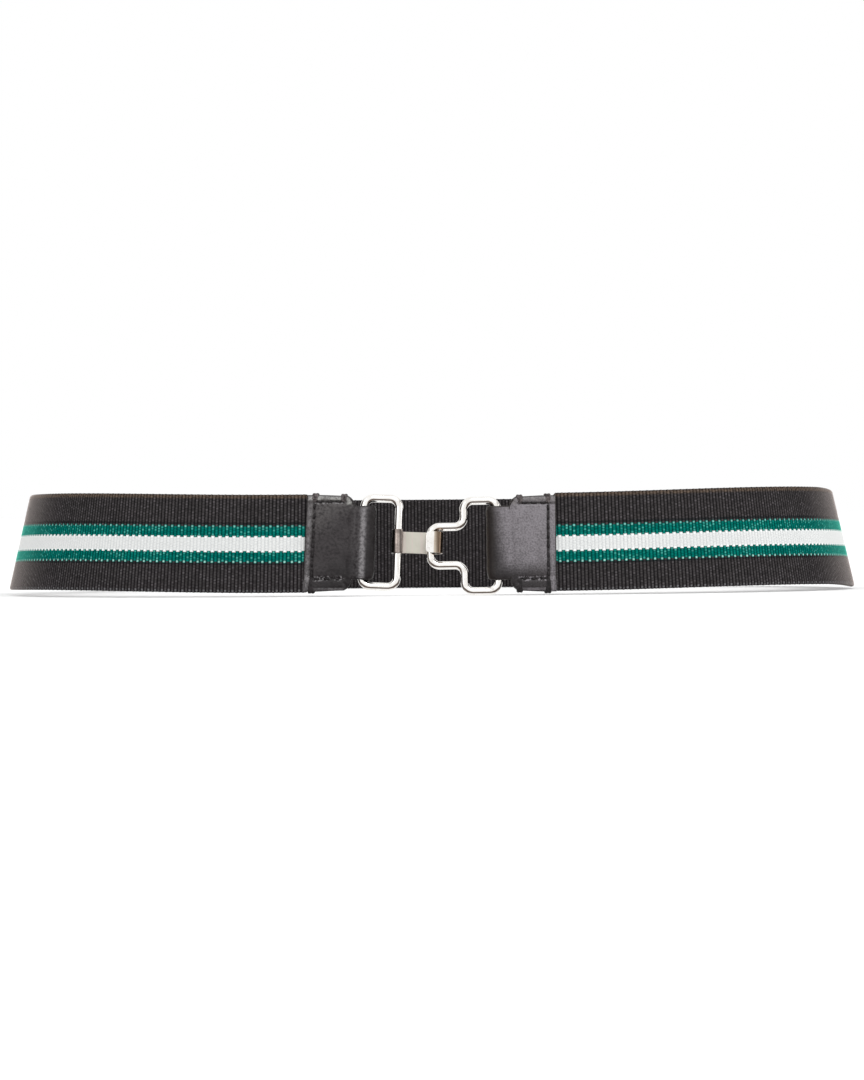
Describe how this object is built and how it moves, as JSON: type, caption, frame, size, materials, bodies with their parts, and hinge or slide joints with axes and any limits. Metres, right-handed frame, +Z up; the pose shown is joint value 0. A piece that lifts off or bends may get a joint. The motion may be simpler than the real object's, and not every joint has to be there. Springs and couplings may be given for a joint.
{
  "type": "fabric belt",
  "caption": "Striped elastic webbing belt fastened into a waist loop, with leather end tabs and a polished wire ring, hook and eye clasp.",
  "frame": {"origin": "centre of the bounding box at the level of the surface that the belt stands on", "axes": "+Z up through the waist opening, -Y out of the clasp at the front, +X from the hook towards the eye"},
  "size_m": [0.272, 0.2144, 0.0325],
  "materials": {
    "webbing": "matt ribbed weave, black with a green, white and green stripe along the middle",
    "tab_leather": "fine grained, slightly shiny, painted cut edges, stitched in black",
    "clasp_metal": "polished silver, satin on the flat of the hook"
  },
  "bodies": {
    "root": {"webbing_band": "webbing", "leather_tab_left": "tab_leather", "leather_tab_right": "tab_leather", "clasp_ring": "clasp_metal", "clasp_hook": "clasp_metal", "clasp_eye": "clasp_metal"}
  },
  "joints": []
}
